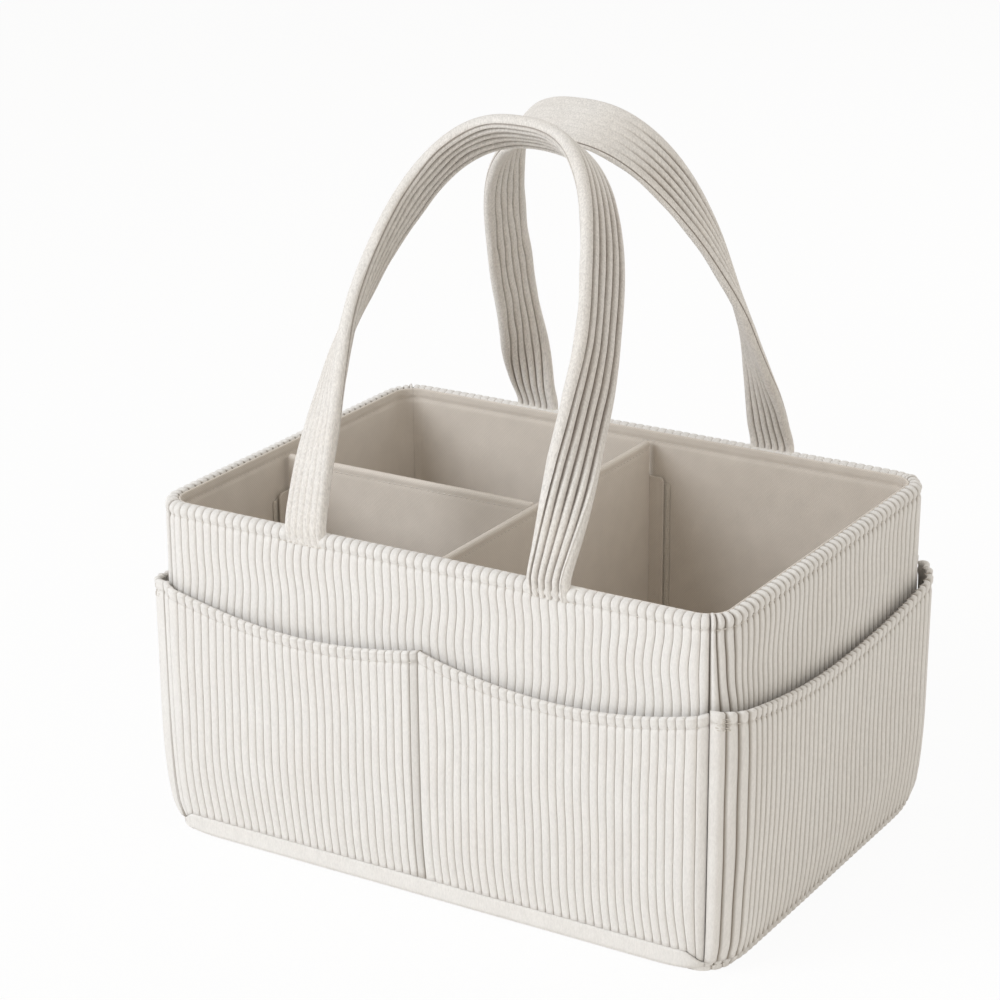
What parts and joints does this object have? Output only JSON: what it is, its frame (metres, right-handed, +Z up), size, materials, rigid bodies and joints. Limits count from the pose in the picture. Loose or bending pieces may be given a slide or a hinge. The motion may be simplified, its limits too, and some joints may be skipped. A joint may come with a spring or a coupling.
{
  "type": "diaper caddy",
  "caption": "Soft open storage caddy of ribbed corduroy over board, with outer pockets, a lift-out divider and padded arched handles that fold outward.",
  "frame": {"origin": "on the floor, under the middle of the caddy", "axes": "+Z up and the longest extent, over the handles; X along the caddy's length; -Y is the front that the picture shows, and Y, its width, is the shortest extent"},
  "size_m": [0.3972, 0.2882, 0.4403],
  "materials": {
    "corduroy": "cream jumbo corduroy, wales about 5.5 mm apart, soft matte nap",
    "strap_corduroy": "the same corduroy quilted along its wales over a soft core",
    "lining": "smooth greige cotton lining, matte",
    "divider_cloth": "smooth greige cotton over thin board, matte",
    "board": "grey stiffening board, matte",
    "soft_core": "white cotton webbing and wadding",
    "hook_and_loop": "cream woven hook and loop tape"
  },
  "bodies": {
    "caddy": {"base_panel": "corduroy", "front_panel": "corduroy", "back_panel": "corduroy", "left_panel": "corduroy", "right_panel": "corduroy", "front_pocket_left": "corduroy", "front_pocket_right": "corduroy", "back_pocket_left": "corduroy", "back_pocket_right": "corduroy", "left_pocket": "corduroy", "right_pocket": "corduroy", "front_lining": "lining", "back_lining": "lining", "left_lining": "lining", "right_lining": "lining", "base_lining": "lining", "front_board": "board", "back_board": "board", "left_board": "board", "right_board": "board", "base_board": "board", "front_handle_left_tab": "soft_core", "front_handle_right_tab": "soft_core", "back_handle_left_tab": "soft_core", "back_handle_right_tab": "soft_core", "front_loop_strip": "hook_and_loop", "back_loop_strip": "hook_and_loop", "left_loop_strip": "hook_and_loop"},
    "front_handle": {"front_handle_sleeve": "strap_corduroy", "front_handle_core": "soft_core"},
    "back_handle": {"back_handle_sleeve": "strap_corduroy", "back_handle_core": "soft_core"},
    "divider_insert": {"center_divider_cover": "divider_cloth", "center_divider_board": "board", "front_hook_strip": "hook_and_loop", "back_hook_strip": "hook_and_loop"},
    "divider_wing": {"wing_divider_cover": "divider_cloth", "wing_divider_board": "board", "wing_hook_strip": "hook_and_loop"}
  },
  "joints": [
    {"name": "front_handle_fold", "type": "hinge", "parent": "caddy", "child": "front_handle", "pos_m": [0, -0.133, 0.2163], "axis": [1, 0, 0], "range_deg": [0, 130]},
    {"name": "back_handle_fold", "type": "hinge", "parent": "caddy", "child": "back_handle", "pos_m": [0, 0.133, 0.2163], "axis": [-1, 0, 0], "range_deg": [0, 130]},
    {"name": "divider_lift", "type": "slide", "parent": "caddy", "child": "divider_insert", "axis": [0, 0, 1], "range_m": [0, 0.205]},
    {"name": "wing_swing", "type": "hinge", "parent": "divider_insert", "child": "divider_wing", "pos_m": [-0.0034, -0.012, 0.1], "axis": [0, 0, -1], "range_deg": [0, 28]}
  ]
}
